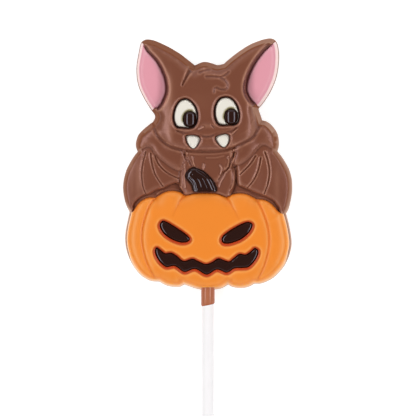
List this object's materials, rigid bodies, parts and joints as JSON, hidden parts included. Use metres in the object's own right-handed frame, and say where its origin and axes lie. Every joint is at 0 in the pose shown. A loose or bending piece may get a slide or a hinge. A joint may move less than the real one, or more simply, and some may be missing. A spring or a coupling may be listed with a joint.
{
  "type": "chocolate lollipop",
  "caption": "Flat-backed moulded chocolate lollipop: a bat with pink ears and ribbed wings holds a ribbed orange pumpkin with a carved face, on a round white stick.",
  "frame": {"origin": "centre of the flat back of the moulded chocolate, without the stick", "axes": "+Z out of the relief's face, +Y to the bat's ears, -Y down the stick, +X to the right of the shown side"},
  "size_m": [0.0605, 0.1945, 0.011],
  "materials": {
    "milk_chocolate": "satin milk chocolate",
    "orange_chocolate": "satin coloured chocolate",
    "pink_chocolate": "satin coloured chocolate",
    "white_chocolate": "satin white chocolate",
    "dark_chocolate": "glossy dark chocolate",
    "stick_paper": "smooth rolled paper"
  },
  "bodies": {
    "root": {"milk_chocolate": "milk_chocolate", "pumpkin": "orange_chocolate", "ear_inner_left": "pink_chocolate", "ear_inner_right": "pink_chocolate", "eye_white_left": "white_chocolate", "eye_white_right": "white_chocolate", "pupil_left": "dark_chocolate", "pupil_right": "dark_chocolate", "fang_left": "white_chocolate", "fang_right": "white_chocolate", "pumpkin_stem": "dark_chocolate", "pumpkin_eye_left": "dark_chocolate", "pumpkin_eye_right": "dark_chocolate", "pumpkin_mouth": "dark_chocolate", "stick": "stick_paper"}
  },
  "joints": []
}
